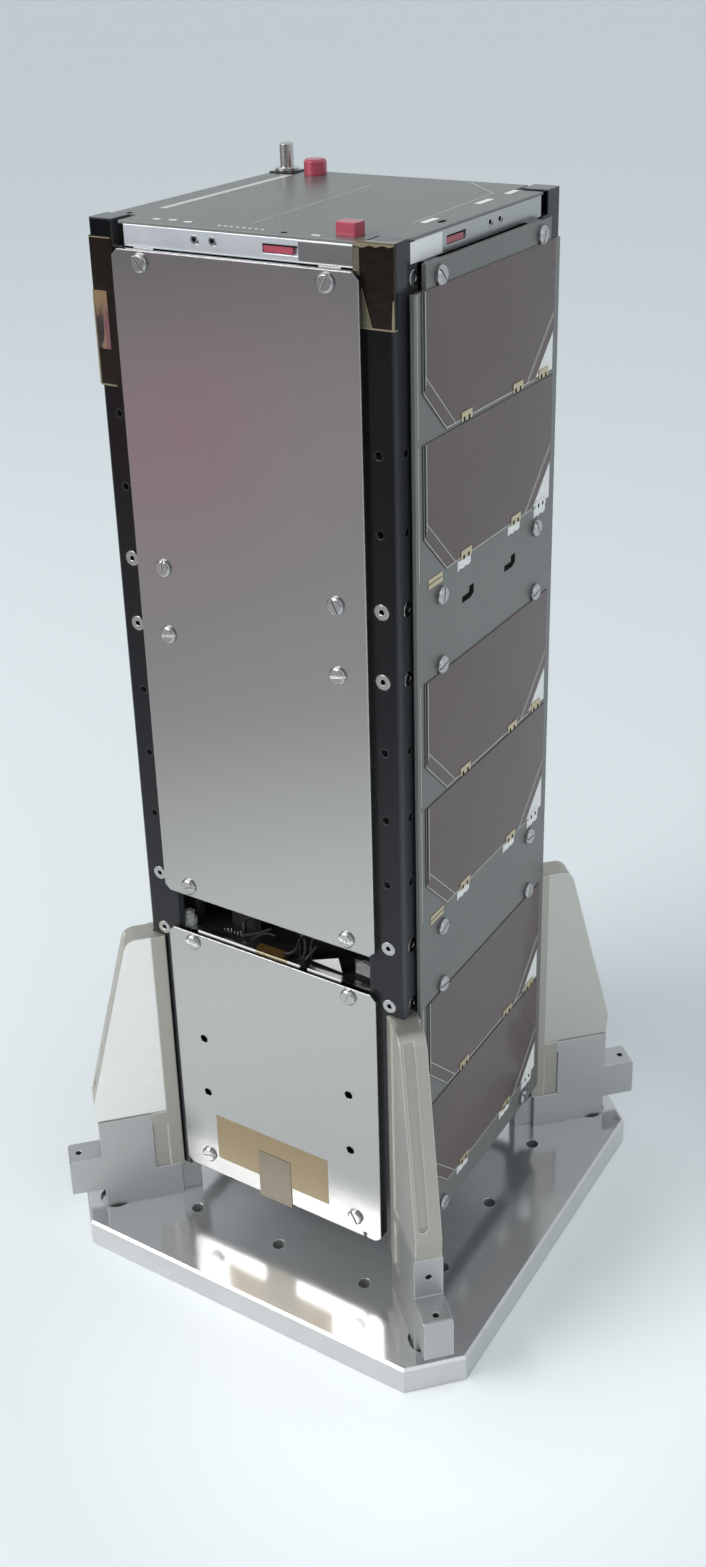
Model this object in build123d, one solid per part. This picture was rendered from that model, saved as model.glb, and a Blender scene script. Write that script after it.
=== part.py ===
from build123d import *
import os

os.makedirs("parts", exist_ok=True)

# Satellite body, a standard three unit body: rails at the corners, frames between them
body_half = 50.0
body_h = 340.5
unit = body_h / 3
rail_leg = 12.3
rail_wall = 3.2
rail_end = 8.5
rail_foot_h = 6.5
rail_round = 1.0
rail_hole_r = 1.3
rail_hole_faces = 6
rail_sink_r = 2.6
rail_sink_deep = 1.1
rail_hole_in = 5.5
screw_row_in = 10.9
ring_t = 3.0
ring_h = 4.0
ring_inset = 10.5
pad_w = 7.0
pad_in = 7.0
panel_gap = 1.5
corner_r = body_half * 2**0.5

# Ground stand: square base plate with chamfered corners
plate_margin = 30.5
plate_t = 10.0
plate_chamfer = 15.0
edge_break = 0.8
side_hole_r = 2.2
side_hole_past = 5.5
side_hole_out = 35.6
foot_gap = 14.0
screw_recess_r = 6.0
screw_recess_deep = 1.5
screw_recess_in = 4.0
foot_screw_r = 2.7

# Corner supports: sizes outward along the plate diagonals from the rail's corner
support_t = 9.8
foot_overlap = 2.7
leg_deep = 6.6
block_deep = 25.8
lug_deep = 11.8
lug_low = 8.5
lug_t = 14.5
block_h = 38.5
lug_round = 1.5
lug_hole_r = 1.1
lug_hole_in = 3.7
riser_hole_up = 31.0
riser_hole_deep = 6.0
tongue_deep = 9.7
tongue_t = 6.0
knee_up = 8.5
knee_past = 0.7
guide_top_deep = 9.8
guide_h = 99.4
guide_round = 5.0
guide_lap = 3.7
guide_clearance = 0.05
head_deep = 1.3
mill_deep = 0.5
boss_h = 5.0
cutter = 5.0
spine_slot_w = 3.5
spine_slot_off = -1.5
spine_slot_deep = 0.9
spine_slot_up = 36.0

# Outer skin
cover_t = 2.1
cover_lap = 3.0
cover_cut = 2.0
cover_joint_up = 7.2
cover_joint_down = 7.5
upper_cover_gap = 0.3
lower_cover_low = 3.8
cover_hole_r = 1.5
cover_hole_in = 11.3
cover_hole_low = 35.6
cover_hole_gap = 23.2
cover_notch_in = 6.2
cover_notch_w = 1.2
cover_notch_h = 2.0
board_t = 1.4
board_lap = 6.7
board_low = 7.0
board_past = 0.2
board_notch_w = 6.4
board_notch_h = 6.8
cell_t = 0.3
cell_in = 3.5
cell_h = 40.4
cell_cut = 13.0
cell_gap = 1.2
cell_mid_up = 2.15

# Top of the satellite
top_drop = 7.2
top_ring_h = 6.1
top_ring_in = 0.5
top_ring_wall = 6.0
top_plate_t = 0.8
top_plate_in = 0.8
top_corner_gap = 1.9
ring_slot_w = 11.2
ring_slot_h = 2.5
ring_slot_deep = 1.2
ring_slot_at = 15.0
insert_gap = 0.2
insert_short = 1.6
ring_dot_r = 0.7
ring_dot_near = 6.3
ring_dot_far = 12.3
plunger_r = 2.25
plunger_up = 8.8
plunger_base_r = 3.9
plunger_base_t = 1.0
cap_r = 3.7
cap_h = 5.0
cap_break = 0.7
cap_side_in = 17.0
cap_back_in = 7.0
flag_w = 6.6
flag_d = 5.0
flag_h = 3.7
flag_round = 0.8
flag_side_in = 17.5
flag_front_in = 8.0
spigot_r = 1.25
spigot_clearance = 0.05
spigot_long = 4.2
spigot_end_gap = 0.6
socket_wall = 1.5

# Inside, as far as the slot between the front covers shows it
deck_t = 1.6
deck_under = 0.6
post_in = 5.3
post_r = 2.75
cable_r = 0.8
cable_faces = 6
cable_bend = 4.0
core_gap_low = 6.0
core_gap_high = 17.3
bottom_plate_t = 3.0

deck_z = plate_t + foot_gap
eps = 0.5

# Places that follow from the sizes above
block_in = corner_r - foot_overlap
leg_out = corner_r + leg_deep
block_out = corner_r + block_deep
lug_out = block_out + lug_deep
lug_hole_at = lug_out - lug_hole_in
tongue_in = corner_r - tongue_deep
guide_top_r = corner_r + guide_top_deep
guide_in = corner_r - guide_lap
inner_leg = body_half - rail_leg
inner_end = body_half - rail_end
ring_out = body_half - rail_wall
ring_in = ring_out - ring_t
screw_out = inner_leg - pad_in
top_ring_low = body_h - top_drop
top_ring_half = body_half - top_ring_in
top_plate_half = body_half - top_plate_in


def box(x0, x1, y0, y1, z0, z1):
    middle = Pos((x0 + x1) / 2, (y0 + y1) / 2, (z0 + z1) / 2)
    return middle * Box(x1 - x0, y1 - y0, z1 - z0)


def rod(x, y, z0, z1, r):
    return Pos(x, y, (z0 + z1) / 2) * Cylinder(r, z1 - z0)


def rod_x(x0, x1, y, z, r):
    return Pos((x0 + x1) / 2, y, z) * Rot(0, 90, 0) * Cylinder(r, x1 - x0)


def rod_y(x, y0, y1, z, r):
    return Pos(x, (y0 + y1) / 2, z) * Rot(90, 0, 0) * Cylinder(r, y1 - y0)


def slab(points, t):
    face = make_face(Plane.XZ * Polyline(*points, close=True))
    return extrude(face, amount=t / 2, both=True)


def plate_xz(points, y0, y1):
    return Pos(0, (y0 + y1) / 2, 0) * slab(points, y1 - y0)


def write(name, shape):
    shape.label = name
    export_step(shape, "parts/" + name + ".step")


corners = (
    ("near", -45),
    ("right", 45),
    ("back", 135),
    ("left", -135),
)
sides = (
    ("front", 0),
    ("right", 90),
    ("back", 180),
    ("left", -90),
)

# Base plate
half = body_half + plate_margin
plate = box(-half, half, -half, half, 0, plate_t)
plate = chamfer(plate.edges().filter_by(Axis.Z), plate_chamfer)
plate = chamfer(plate.edges().group_by(Axis.Z)[-1], edge_break)
for _, turn in sides:
    for along in (-side_hole_out, 0, side_hole_out):
        hole = rod(along, -body_half - side_hole_past, -eps, plate_t + eps, side_hole_r)
        plate -= Rot(0, 0, turn) * hole
for _, turn in corners:
    at = block_out - screw_recess_in
    recess = rod(at, 0, plate_t - screw_recess_deep, plate_t + eps, screw_recess_r)
    through = rod(at, 0, -eps, plate_t, foot_screw_r)
    plate -= Rot(0, 0, turn) * (recess + through)
write("base_plate", plate)

# Foot blocks carry the rail feet on a tongue and the lifting lug outside
block_top = plate_t + block_h
lug_z = plate_t + lug_low
block = slab(
    [
        (block_in, plate_t),
        (block_out, plate_t),
        (block_out, lug_z),
        (lug_out, lug_z),
        (lug_out, lug_z + lug_t),
        (block_out, lug_z + lug_t),
        (block_out, block_top),
        (leg_out, block_top),
        (leg_out, deck_z),
        (block_in, deck_z),
    ],
    support_t,
)
tip = block.edges().filter_by(Axis.Y).filter_by_position(Axis.X, lug_out - 0.1, lug_out + 0.1)
block = fillet(tip.sort_by(Axis.Z)[-1], lug_round)
block += box(tongue_in, block_in + eps, -tongue_t / 2, tongue_t / 2, plate_t, deck_z)
block -= rod(lug_hole_at, 0, lug_z - eps, lug_z + lug_t + eps, lug_hole_r)
block -= rod_x(block_out - riser_hole_deep, block_out + eps, 0, plate_t + riser_hole_up, lug_hole_r)
for name, turn in corners:
    write("foot_block_" + name, Rot(0, 0, turn) * block)

# Corner guides: vee head on the rail, web milled on both faces, slot down the spine
guide_top = deck_z + guide_h
knee_z = block_top + knee_up
knee_r = block_out + knee_past
guide = slab(
    [
        (guide_in, deck_z),
        (leg_out, deck_z),
        (leg_out, block_top),
        (block_out, block_top),
        (knee_r, knee_z),
        (guide_top_r, guide_top),
        (guide_in, guide_top),
    ],
    support_t,
)
crown = guide.edges().filter_by(Axis.Y).filter_by_position(Axis.Z, guide_top - 0.1, guide_top + 0.1)
guide = fillet(crown.sort_by(Axis.X)[-1], guide_round)
notch_half = body_half + guide_clearance
guide -= Rot(0, 0, 45) * box(
    -notch_half, notch_half, -notch_half, notch_half, deck_z - eps, guide_top + eps
)
head_r = corner_r + head_deep
for side in (-1, 1):
    middle = side * (support_t / 2 - mill_deep + cutter / 2)
    y0 = middle - cutter / 2
    y1 = middle + cutter / 2
    mill = box(head_r, knee_r + cutter, y0, y1, deck_z - eps, guide_top + eps)
    mill -= box(head_r - eps, leg_out + eps, y0 - eps, y1 + eps, block_top - boss_h, block_top)
    guide -= mill
spine = Plane(
    origin=(knee_r, spine_slot_off, knee_z),
    x_dir=(guide_top_r - knee_r, 0, guide_top - knee_z),
    z_dir=(guide_top - knee_z, 0, knee_r - guide_top_r),
)
run = (guide_top - knee_z) * 1.2
low_end = deck_z + spine_slot_up - knee_z + spine_slot_w / 2
slot_face = Pos(low_end + run / 2, 0) * Rectangle(run, spine_slot_w)
slot_face += Pos(low_end, 0) * Circle(spine_slot_w / 2)
guide -= spine * extrude(slot_face, amount=spine_slot_deep, both=True)
for name, turn in corners:
    write("corner_guide_" + name, Rot(0, 0, turn) * guide)

# Corner rails, drawn at the near corner and turned to the others
foot_z = deck_z
head_z = deck_z + body_h
leg_low = foot_z + rail_foot_h
leg_top = deck_z + top_ring_low
rail = box(inner_end, body_half, -body_half, -inner_end, foot_z, head_z)
rail -= box(
    inner_end - eps,
    body_half - rail_wall,
    -body_half + rail_wall,
    -inner_end + eps,
    leg_low + rail_foot_h,
    leg_top - rail_foot_h,
)
rail += box(inner_leg, body_half, -body_half, -body_half + rail_wall, leg_low, leg_top)
rail += box(body_half - rail_wall, body_half, -body_half, -inner_leg, leg_low, leg_top)
outer = rail.edges().filter_by(Axis.Z).sort_by(Axis.X)[-6:].sort_by(Axis.Y)[0]
rail = fillet(outer, rail_round)


def rail_holes(z, depth, r):
    drill = extrude(RegularPolygon(r, round(rail_hole_faces)), amount=depth + eps)
    at = body_half - rail_hole_in
    front = Pos(at, -body_half - eps, z) * Rot(-90, 0, 0) * drill
    side = Pos(body_half + eps, -at, z) * Rot(0, -90, 0) * drill
    return [front, side]


for rows in (
    (unit - screw_row_in, unit + screw_row_in),
    (2 * unit - screw_row_in, 2 * unit + screw_row_in),
):
    for up in rows:
        rail -= rail_holes(deck_z + up, rail_sink_deep, rail_sink_r)
for share in (2.5, 2.3, 1.7, 1.5, 1.3):
    rail -= rail_holes(deck_z + share * unit, rail_wall + eps, rail_hole_r)
for name, turn in corners:
    write("rail_" + name, Rot(0, 0, turn + 45) * rail)

# Square frames between the rails, with pads that carry the covers and panels
levels = (
    ("bottom", ring_inset),
    ("lower_unit", unit - ring_inset - ring_h),
    ("middle_low", unit + ring_inset),
    ("middle_high", 2 * unit - ring_inset - ring_h),
    ("upper_unit", 2 * unit + ring_inset),
    ("top", top_ring_low - ring_h),
)
for name, low in levels:
    z0 = deck_z + low
    z1 = z0 + ring_h
    ring = box(-ring_out, ring_out, -ring_out, ring_out, z0, z1)
    ring -= box(-ring_in, ring_in, -ring_in, ring_in, z0 - eps, z1 + eps)
    if name in ("bottom", "top"):
        clear = rail_end - rail_wall
        for x in (-1, 1):
            for y in (-1, 1):
                ring -= Pos(x * ring_out, y * ring_out, (z0 + z1) / 2) * Box(
                    2 * clear, 2 * clear, ring_h + 1
                )
        brace = rail_end - rail_wall + ring_t
        for x in (-1, 1):
            for y in (-1, 1):
                px = x * (ring_out - brace / 2)
                py = y * (ring_out - brace / 2)
                corner = Pos(px, py, (z0 + z1) / 2) * Box(brace, brace, ring_h)
                corner -= Pos(x * ring_out, y * ring_out, (z0 + z1) / 2) * Box(
                    2 * clear, 2 * clear, ring_h + 1
                )
                ring += corner
    for side, turn in sides:
        reach = body_half if side == "front" else body_half + panel_gap
        for x in (-screw_out, screw_out):
            pad = box(x - pad_w / 2, x + pad_w / 2, -reach, -ring_out + eps, z0, z1)
            ring += Rot(0, 0, turn) * pad
    write("frame_" + name, ring)

# Front covers
cover_half_w = inner_leg + cover_lap
cover_hole_out = cover_half_w - cover_hole_in
covers = (
    ("upper", unit + cover_joint_up, top_ring_low - upper_cover_gap),
    ("lower", lower_cover_low, unit - cover_joint_down),
)
for name, low, high in covers:
    z0 = deck_z + low
    cover = box(
        -cover_half_w, cover_half_w, -body_half - cover_t, -body_half, z0, deck_z + high
    )
    cover = chamfer(cover.edges().filter_by(Axis.Y), cover_cut)
    if name == "lower":
        for x in (-cover_hole_out, cover_hole_out):
            for step in (0, cover_hole_gap):
                z = z0 + cover_hole_low + step
                cover -= rod_y(x, -body_half - cover_t - eps, -body_half + eps, z, cover_hole_r)
        notch_at = cover_half_w - cover_notch_in
        cover -= Pos(notch_at, -body_half - cover_t / 2, z0) * Box(
            cover_notch_w, 2 * cover_t, 2 * cover_notch_h
        )
    write("front_cover_" + name, cover)

# Solar boards and cells on the other three sides
board_half_w = inner_leg + board_lap
cell_half_w = board_half_w - cell_in
for name, turn in sides:
    if name == "front":
        continue
    inner = -body_half - panel_gap
    z0 = deck_z + board_low
    z1 = deck_z + top_ring_low + board_past
    notch = board_half_w - board_notch_w
    board = plate_xz(
        [
            (-board_half_w, z0),
            (board_half_w, z0),
            (board_half_w, z1 - board_notch_h),
            (notch, z1 - board_notch_h),
            (notch, z1),
            (-notch, z1),
            (-notch, z1 - board_notch_h),
            (-board_half_w, z1 - board_notch_h),
        ],
        inner - board_t,
        inner,
    )
    write("solar_board_" + name, Rot(0, 0, turn) * board)
    cells = []
    for unit_no in range(3):
        middle = deck_z + unit / 2 + cell_mid_up + unit * unit_no
        for low in (middle + cell_gap / 2, middle - cell_gap / 2 - cell_h):
            cell = plate_xz(
                [
                    (-cell_half_w + cell_cut, low),
                    (cell_half_w - cell_cut, low),
                    (cell_half_w, low + cell_cut),
                    (cell_half_w, low + cell_h),
                    (-cell_half_w, low + cell_h),
                    (-cell_half_w, low + cell_cut),
                ],
                inner - board_t - cell_t,
                inner - board_t,
            )
            cells.append(Rot(0, 0, turn) * cell)
    write("solar_cells_" + name, Compound(children=cells))

# Top ring with its slots, and the plate over it
z0 = deck_z + top_ring_low
z1 = z0 + top_ring_h
ring = box(-top_ring_half, top_ring_half, -top_ring_half, top_ring_half, z0, z1)
for x in (-1, 1):
    for y in (-1, 1):
        cut = top_ring_half - inner_leg
        ring -= Pos(x * top_ring_half, y * top_ring_half, (z0 + z1) / 2) * Box(
            2 * cut, 2 * cut, top_ring_h + 1
        )
hollow = top_ring_half - top_ring_wall
well = inner_leg - top_ring_wall
ring -= box(-hollow, hollow, -well, well, z0 - eps, z1 + eps)
ring -= box(-well, well, -hollow, hollow, z0 - eps, z1 + eps)
slot_z = (z0 + z1) / 2
inserts = []
for name, turn, sign in (
    ("front", 0, 1),
    ("right", 90, -1),
    ("back", 180, 1),
    ("left", -90, -1),
):
    x = sign * ring_slot_at
    face = -top_ring_half
    slot = box(
        x - ring_slot_w / 2,
        x + ring_slot_w / 2,
        face - eps,
        face + ring_slot_deep,
        slot_z - ring_slot_h / 2,
        slot_z + ring_slot_h / 2,
    )
    ring -= Rot(0, 0, turn) * slot
    bar = box(
        x - ring_slot_w / 2 + insert_gap,
        x + ring_slot_w / 2 - insert_short,
        face + insert_gap,
        face + ring_slot_deep,
        slot_z - ring_slot_h / 2 + insert_gap,
        slot_z + ring_slot_h / 2 - insert_gap,
    )
    inserts.append(Rot(0, 0, turn) * bar)
    for dot in (-ring_dot_far, -ring_dot_near):
        drill = extrude(RegularPolygon(ring_dot_r, round(rail_hole_faces)), amount=ring_slot_deep + eps)
        ring -= Rot(0, 0, turn) * Pos(sign * dot, face - eps, slot_z) * Rot(-90, 0, 0) * drill
plate_z = z1
top_z = plate_z + top_plate_t
lid = box(-top_plate_half, top_plate_half, -top_plate_half, top_plate_half, plate_z, top_z)
for x in (-1, 1):
    for y in (-1, 1):
        cut = top_plate_half - inner_end + top_corner_gap
        lid -= Pos(x * top_plate_half, y * top_plate_half, (plate_z + top_z) / 2) * Box(
            2 * cut, 2 * cut, top_plate_t + 1
        )
cap_x = -body_half + cap_side_in
cap_y = body_half - cap_back_in
flag_x = body_half - flag_side_in
flag_y = -body_half + flag_front_in
bore_r = spigot_r + spigot_clearance
bore_low = top_z - spigot_long - spigot_end_gap
for x, y in ((cap_x, cap_y), (flag_x, flag_y)):
    ring += rod(x, y, bore_low - socket_wall, z1, bore_r + socket_wall)
    ring -= rod(x, y, bore_low, z1 + eps, bore_r)
    lid -= rod(x, y, plate_z - eps, top_z + eps, bore_r)
write("top_ring", ring)
write("ring_inserts", Compound(children=inserts))
write("top_plate", lid)

# Pull-out protective caps
spigot_low = top_z - spigot_long
cap = rod(cap_x, cap_y, top_z, top_z + cap_h, cap_r)
cap = chamfer(cap.edges().group_by(Axis.Z)[-1], cap_break)
cap += rod(cap_x, cap_y, spigot_low, top_z + eps, spigot_r)
write("cap_round", cap)
flag = box(
    flag_x - flag_w / 2,
    flag_x + flag_w / 2,
    flag_y - flag_d / 2,
    flag_y + flag_d / 2,
    top_z,
    top_z + flag_h,
)
flag = fillet(flag.edges().filter_by(Axis.Z), flag_round)
flag += rod(flag_x, flag_y, spigot_low, top_z + eps, spigot_r)
write("cap_square", flag)

# Separation plunger on the back rail
px = -(body_half - rail_end / 2)
py = -px
plunger = rod(px, py, head_z, head_z + plunger_base_t, plunger_base_r)
plunger += rod(px, py, head_z, head_z + plunger_up, plunger_r)
plunger = chamfer(plunger.edges().group_by(Axis.Z)[-1], 0.4)
write("separation_plunger", plunger)

# Inner deck, posts and cables seen through the slot in the front
floor_z = deck_z + unit - ring_inset - deck_under
roof_z = deck_z + unit + ring_inset
for name, z0 in (("inner_deck", floor_z - deck_t), ("upper_deck", roof_z)):
    write(name, box(-ring_in, ring_in, -ring_in, ring_in, z0, z0 + deck_t))
post_at = ring_in - post_in
post = extrude(RegularPolygon(post_r, 6), amount=roof_z - floor_z)
posts = []
for x in (-post_at, post_at):
    for y in (-post_at, post_at):
        posts.append(Pos(x, y, floor_z) * post)
write("stack_posts", Compound(children=posts))
deck_blocks = (
    (-post_at + 18.5, 9.8, 12.0, 4.0, 5.0),
    (post_at - 8.5, 5.8, 7.0, 6.0, 6.5),
    (2.0, 19.8, 26.0, 9.0, 3.0),
)
blocks = []
for x, inward, wide, long, tall in deck_blocks:
    y = inward - ring_in
    blocks.append(
        box(x - wide / 2, x + wide / 2, y - long / 2, y + long / 2, floor_z, floor_z + tall)
    )
write("deck_connectors", Compound(children=blocks))
cable_runs = (
    (-18.0, 3.8, -3.0, 7.8),
    (5.0, 3.3, 9.0, 7.8),
    (9.5, 3.3, 13.0, 8.8),
)
rise = (roof_z - floor_z) * 0.3
cables = []
for x0, in0, x1, in1 in cable_runs:
    path = FilletPolyline(
        (x0, in0 - ring_in, floor_z),
        (x0, in0 - ring_in, floor_z + rise),
        (x1, in1 - ring_in, roof_z - rise),
        (x1, in1 - ring_in, roof_z),
        radius=cable_bend,
    )
    section = Plane(origin=path @ 0, z_dir=path % 0) * RegularPolygon(cable_r, round(cable_faces))
    cables.append(sweep(section, path))
write("harness", Compound(children=cables))

# Plain block for the payload, batteries and electronics
z0 = roof_z + deck_t + core_gap_low
z1 = deck_z + top_ring_low - ring_h - core_gap_high
write("core_block", box(-ring_in, ring_in, -ring_in, ring_in, z0, z1))
z1 = deck_z + ring_inset
base = box(-ring_out, ring_out, -ring_out, ring_out, z1 - bottom_plate_t, z1)
for x in (-1, 1):
    for y in (-1, 1):
        base -= Pos(x * ring_out, y * ring_out, z1) * Box(2 * clear, 2 * clear, 4 * bottom_plate_t)
write("bottom_plate", base)
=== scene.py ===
import bpy
import bmesh
import math
from mathutils import Matrix, Vector


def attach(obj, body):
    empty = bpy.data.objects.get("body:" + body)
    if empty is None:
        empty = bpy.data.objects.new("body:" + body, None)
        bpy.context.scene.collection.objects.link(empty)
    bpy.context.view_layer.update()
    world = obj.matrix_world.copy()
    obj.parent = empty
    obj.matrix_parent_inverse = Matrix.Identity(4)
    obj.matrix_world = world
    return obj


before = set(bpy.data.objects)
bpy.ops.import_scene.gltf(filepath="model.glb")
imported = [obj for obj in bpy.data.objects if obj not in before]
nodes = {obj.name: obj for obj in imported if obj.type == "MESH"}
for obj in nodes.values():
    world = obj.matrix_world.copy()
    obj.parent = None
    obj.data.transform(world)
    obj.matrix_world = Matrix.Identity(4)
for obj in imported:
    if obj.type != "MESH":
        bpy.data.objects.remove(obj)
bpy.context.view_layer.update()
mm = 0.001
hull = "satellite"
deckZ = 24.0  # height of the rail feet above the floor, in mm
print("frame loaded:", len(nodes), "CAD nodes")

# Camera at the photograph's place
cameraSet = {
    "place": (0.25940, -0.40695, 0.44266),
    "right": (0.8521773, 0.5226393, -0.0253391),
    "up": (-0.1967942, 0.3649963, 0.9099724),
    "back": (0.4848360, -0.7704712, 0.4138939),
    "lens": 37.18,
    "shift": -0.0906,
}
camera = bpy.data.objects.new("camera", bpy.data.cameras.new("camera"))
bpy.context.scene.collection.objects.link(camera)
turn = Matrix((cameraSet["right"], cameraSet["up"], cameraSet["back"])).transposed()
camera.matrix_world = Matrix.Translation(cameraSet["place"]) @ turn.to_4x4()
camera.data.sensor_width = 36.0
camera.data.lens = cameraSet["lens"]
camera.data.shift_y = cameraSet["shift"]
camera.data.clip_start = 0.01
camera.data.clip_end = 60
bpy.context.scene.camera = camera


# Shader maths: a wire carries one value, and the usual signs add Math nodes
def plug(tree, value, socket):
    if isinstance(value, Wire):
        tree.links.new(value.socket, socket)
    else:
        socket.default_value = value


class Wire:
    def __init__(self, tree, socket):
        self.tree = tree
        self.socket = socket

    def maths(self, operation, other, flipped=False, clamped=False):
        added = self.tree.nodes.new("ShaderNodeMath")
        added.operation = operation
        added.use_clamp = clamped
        pair = (other, self) if flipped else (self, other)
        for value, socket in zip(pair, added.inputs):
            plug(self.tree, value, socket)
        return Wire(self.tree, added.outputs[0])

    def __add__(self, other):
        return self.maths("ADD", other)

    def __radd__(self, other):
        return self.maths("ADD", other, True)

    def __sub__(self, other):
        return self.maths("SUBTRACT", other)

    def __rsub__(self, other):
        return self.maths("SUBTRACT", other, True)

    def __mul__(self, other):
        return self.maths("MULTIPLY", other)

    def __rmul__(self, other):
        return self.maths("MULTIPLY", other, True)

    def __lt__(self, other):
        return self.maths("LESS_THAN", other)

    def __gt__(self, other):
        return self.maths("GREATER_THAN", other)

    def held(self):
        return self.maths("ADD", 0.0, clamped=True)


class Finish:
    def __init__(self, name, colour, roughness, metallic=0.0, **fixed):
        self.material = bpy.data.materials.new(name)
        self.material.use_nodes = True
        self.tree = self.material.node_tree
        self.shader = self.tree.nodes["Principled BSDF"]
        self.shader.inputs["Base Color"].default_value = (*colour, 1)
        self.shader.inputs["Roughness"].default_value = roughness
        self.shader.inputs["Metallic"].default_value = metallic
        for key, value in fixed.items():
            self.shader.inputs[key.replace("_", " ")].default_value = value
        self.material.diffuse_color = (*colour, 1)

    def node(self, kind, settings=None, values=None, out=0):
        made = self.tree.nodes.new(kind)
        for key, value in (settings or {}).items():
            if key == "stops":
                while len(made.color_ramp.elements) < len(value):
                    made.color_ramp.elements.new(1)
                for stop, (where, tone) in zip(made.color_ramp.elements, value):
                    stop.position = where
                    stop.color = (*tone, 1) if len(tone) == 3 else tone
            else:
                setattr(made, key, value)
        for key, value in (values or {}).items():
            plug(self.tree, value, made.inputs[key])
        return Wire(self.tree, made.outputs[out])

    def place(self, scale=(1, 1, 1), turned=(0, 0, 0)):
        at = self.node("ShaderNodeTexCoord", out=3)
        return self.node("ShaderNodeMapping", None, {0: at, 2: turned, 3: scale})

    def axes(self):
        at = self.node("ShaderNodeTexCoord", out=3)
        return [self.node("ShaderNodeSeparateXYZ", None, {0: at}, out=i) for i in range(3)]

    def facing(self, axis):
        turned = self.node("ShaderNodeTexCoord", out=1)
        return self.node("ShaderNodeSeparateXYZ", None, {0: turned}, axis)

    def noise(self, scale, detail=3.0, rough=0.5, stretch=(1, 1, 1), turned=(0, 0, 0)):
        at = self.place(stretch, turned)
        return self.node(
            "ShaderNodeTexNoise",
            None,
            {"Vector": at, "Scale": scale, "Detail": detail, "Roughness": rough},
        )

    def blend(self, share, first, second):
        first = first if isinstance(first, Wire) else (*first, 1)
        second = second if isinstance(second, Wire) else (*second, 1)
        return self.node("ShaderNodeMix", {"data_type": "RGBA"}, {0: share, 6: first, 7: second}, 2)

    def ramp(self, share, stops):
        return self.node("ShaderNodeValToRGB", {"stops": stops}, {0: share})

    def span(self, value, low, high, first=0.0, last=1.0):
        return self.node("ShaderNodeMapRange", None, {0: value, 1: low, 2: high, 3: first, 4: last})

    def set(self, socket, value):
        plug(self.tree, value, self.shader.inputs[socket])

    def bump(self, height, depth, strength=1.0, under=None):
        values = {"Height": height, "Distance": depth, "Strength": strength}
        if under is not None:
            values["Normal"] = under
        return self.node("ShaderNodeBump", None, values)

    def soft(self, radius):
        return self.node("ShaderNodeBevel", {"samples": 4}, {"Radius": radius})

    def edges(self, radius, gain=6.0):
        true = self.node("ShaderNodeNewGeometry", out=3)
        both = {0: self.soft(radius), 1: true}
        same = self.node("ShaderNodeVectorMath", {"operation": "DOT_PRODUCT"}, both, 1)
        return ((1 - same) * gain).held()


def worked(name, tone, worn, roughness, grain, metallic=1.0, edge=0.0006, depth=0.00002, patch=9.0):
    finish = Finish(name, tone, roughness, metallic)
    streak = finish.noise(grain[0], 4.0, 0.6, grain[1])
    cloud = finish.noise(patch, 4.0, 0.55)
    rim = finish.edges(edge)
    darker, paler = [c * 0.86 for c in tone], [min(1, c * 1.1) for c in tone]
    body = finish.blend(streak * 0.5 + cloud * 0.5, darker, paler)
    finish.set("Base Color", finish.blend(rim, body, worn))
    finish.set("Roughness", (roughness - 0.07 + 0.09 * streak + 0.07 * cloud).held())
    finish.set("Normal", finish.bump(streak, depth, 0.5, finish.soft(edge)))
    return finish


# Tones that follow the photo's light and not the material: a share of 0 gives an even finish
photoLight = {
    "coverCorner": 0.8,  # painted reflection: the lower cover's corner by the left foot darker
    "coverTop": 0.8,  # painted shade on the upward edges of the covers
    # painted light on the rails: paler towards the foot, and a painted sheen on their side faces
    "railLow": 0.8,
    "railSides": 0.85,
    "guideSides": 1.0,  # painted shade: webs darker towards the right
    "coverHigh": 1.0,  # painted shade and painted pink reflection: upper cover darker and pinker towards the top
    "boardLevel": 0.6,  # painted shade: top plate darker against the upright boards
    # painted shade on the ring's side faces
    "ringSides": 0.7,
}

# Metals: tone, worn tone, roughness, grain (scale and stretch)
plateMetal = worked(
    "plateMetal", (0.60, 0.605, 0.61), (0.85, 0.86, 0.87), 0.13, (60, (1, 9, 1)), metallic=0.72, edge=0.0004
)
blockMetal = worked("blockMetal", (0.47, 0.475, 0.475), (0.66, 0.66, 0.66), 0.42, (240, (1, 1, 6)))
frameMetal = worked(
    "frameMetal", (0.70, 0.72, 0.74), (0.9, 0.9, 0.9), 0.26, (90, (1, 1, 3)), depth=0.000004
)
pinSteel = worked("pinSteel", (0.48, 0.48, 0.47), (0.8, 0.8, 0.8), 0.26, (900, (1, 1, 5)), edge=0.0003)
screwSteel = worked(
    "screwSteel", (0.44, 0.44, 0.44), (0.85, 0.85, 0.85), 0.22, (900, (5, 1, 1)), edge=0.0003
)

# Corner guides: milled webs are bright, and what is left of the rough casting is browner
guideSet = {"webHalf": 0.0047, "webTurn": 0.45, "spineOut": 0.045, "webLow": 0.049, "edge": 0.0006}
guideMetal = Finish("guideMetal", (0.5, 0.48, 0.44), 0.42, 0.8)
streak = guideMetal.noise(150, 4.0, 0.6, (1, 1, 7))
cloud = guideMetal.noise(30, 4.0, 0.6)
across, deep, up = guideMetal.axes()
turnedA, turnedB = guideMetal.facing(0), guideMetal.facing(1)
first, second = [part.maths("ABSOLUTE", 0) for part in (across - deep, across + deep)]
offSide = first.maths("MINIMUM", second) * 0.7071  # one over root two
sideOn = (turnedA * turnedB).maths("ABSOLUTE", 0) > guideSet["webTurn"]
outward = across * turnedA + deep * turnedB
spineOn = (outward > guideSet["spineOut"]).maths("MAXIMUM", outward < -guideSet["spineOut"])
milled = (offSide < guideSet["webHalf"]) * sideOn * (1 - spineOn) * (up > guideSet["webLow"])
body = guideMetal.blend(cloud, (0.38, 0.36, 0.32), (0.47, 0.455, 0.415))
mottle = streak * 0.6 + cloud * 0.4
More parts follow.
